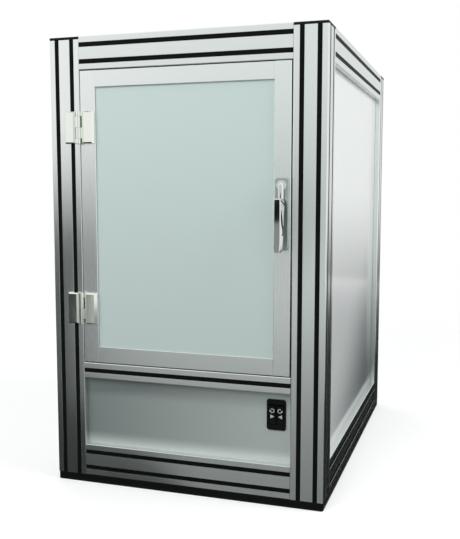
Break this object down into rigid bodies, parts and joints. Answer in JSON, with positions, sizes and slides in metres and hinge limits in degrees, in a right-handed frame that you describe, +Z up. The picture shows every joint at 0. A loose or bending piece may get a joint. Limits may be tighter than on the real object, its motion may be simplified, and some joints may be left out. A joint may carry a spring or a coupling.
{
  "type": "desktop 3d scanner",
  "caption": "Closed scanning cabinet of slotted aluminium profile with white panels, a framed hinged door, a turntable inside and a twin rocker switch below the door.",
  "frame": {"origin": "centre of the base plate's underside, on the table", "axes": "+Z up, the door faces -Y, +X to the right of someone who faces the door"},
  "size_m": [0.52, 0.7556, 0.835],
  "materials": {
    "anodised_profile": "drawn and clear anodised, satin",
    "brushed_door_frame": "brushed lengthwise",
    "black_plastic": "moulded, satin black",
    "black_board": "black laminated board",
    "white_board": "semi-gloss coated composite board",
    "plated_hinge": "nickel-plated die casting",
    "chromed_handle": "polished chrome",
    "zinc_steel": "zinc-plated",
    "gear_steel": "hobbed, lightly oiled",
    "motor_steel": "plated sheet",
    "black_anodised": "black anodised, matt",
    "head_shell": "fine moulded grain",
    "lens_barrel": "black barrel with coated front glass",
    "diffuser": "opal diffuser",
    "inlet_plastic": "moulded black"
  },
  "bodies": {
    "cabinet": {"post_front_left": "anodised_profile", "post_cap_front_left": "black_plastic", "post_front_right": "anodised_profile", "post_cap_front_right": "black_plastic", "top_beam_front": "anodised_profile", "bottom_beam_front": "anodised_profile", "post_rear_left": "anodised_profile", "post_cap_rear_left": "black_plastic", "post_rear_right": "anodised_profile", "post_cap_rear_right": "black_plastic", "top_beam_rear": "anodised_profile", "bottom_beam_rear": "anodised_profile", "top_beam_left": "anodised_profile", "bottom_beam_left": "anodised_profile", "deck_rail_left": "anodised_profile", "side_panel_left": "white_board", "top_beam_right": "anodised_profile", "bottom_beam_right": "anodised_profile", "deck_rail_right": "anodised_profile", "side_panel_right": "white_board", "mid_rail_front": "anodised_profile", "base_plate": "black_board", "rear_panel": "white_board", "top_panel": "white_board", "lower_front_panel": "white_board", "deck_plate": "black_anodised", "door_stop_top": "zinc_steel", "door_stop_bottom": "zinc_steel", "latch_keeper": "zinc_steel", "switch_bezel": "black_plastic", "bearing_housing": "black_anodised", "gearmotor": "motor_steel", "scan_mast": "anodised_profile", "scan_yoke": "black_anodised", "light_bar": "diffuser", "power_supply": "motor_steel", "mains_inlet": "inlet_plastic", "upper_hinge_post_leaf": "plated_hinge", "upper_hinge_pin": "plated_hinge", "lower_hinge_post_leaf": "plated_hinge", "lower_hinge_pin": "plated_hinge"},
    "door": {"door_stile_hinge": "brushed_door_frame", "door_stile_latch": "brushed_door_frame", "door_rail_top": "brushed_door_frame", "door_rail_bottom": "brushed_door_frame", "door_panel": "white_board", "upper_hinge_door_leaf": "plated_hinge", "lower_hinge_door_leaf": "plated_hinge", "handle_escutcheon": "chromed_handle"},
    "handle": {"handle_lever": "chromed_handle", "latch_cam": "zinc_steel"},
    "forward_rocker": {"rocker_forward": "black_plastic"},
    "reverse_rocker": {"rocker_reverse": "black_plastic"},
    "turntable": {"turntable_platter": "black_anodised", "drive_wheel": "gear_steel"},
    "pinion": {"drive_pinion": "gear_steel"},
    "scan_head": {"scan_head_housing": "head_shell", "projector_lens": "lens_barrel", "camera_lens_left": "lens_barrel", "camera_lens_right": "lens_barrel"}
  },
  "joints": [
    {"name": "door_hinge", "type": "hinge", "parent": "cabinet", "child": "door", "pos_m": [-0.1995, -0.367, 0.5045], "axis": [0, 0, -1], "range_deg": [0, 160]},
    {"name": "handle_turn", "type": "hinge", "parent": "door", "child": "handle", "pos_m": [0.183, -0.36, 0.5655], "axis": [0, 1, 0], "range_deg": [0, 90]},
    {"name": "forward_press", "type": "hinge", "parent": "cabinet", "child": "forward_rocker", "pos_m": [0.1655, -0.3463, 0.163], "axis": [-1, 0, 0], "range_deg": [0, 14]},
    {"name": "reverse_press", "type": "hinge", "parent": "cabinet", "child": "reverse_rocker", "pos_m": [0.1795, -0.3463, 0.163], "axis": [-1, 0, 0], "range_deg": [0, 14]},
    {"name": "turntable_spin", "type": "hinge", "parent": "cabinet", "child": "turntable", "pos_m": [0, -0.08, 0.2212], "axis": [0, 0, 1], "continuous": true},
    {"name": "pinion_spin", "type": "hinge", "parent": "cabinet", "child": "pinion", "pos_m": [0, 0, 0.2212], "axis": [0, 0, 1], "continuous": true},
    {"name": "head_tilt", "type": "hinge", "parent": "cabinet", "child": "scan_head", "pos_m": [0, 0.242, 0.5512], "axis": [1, 0, 0], "range_deg": [-25, 20]}
  ],
  "couplings": [
    {"joint": "pinion_spin", "follows": "turntable_spin", "ratio": -3}
  ]
}
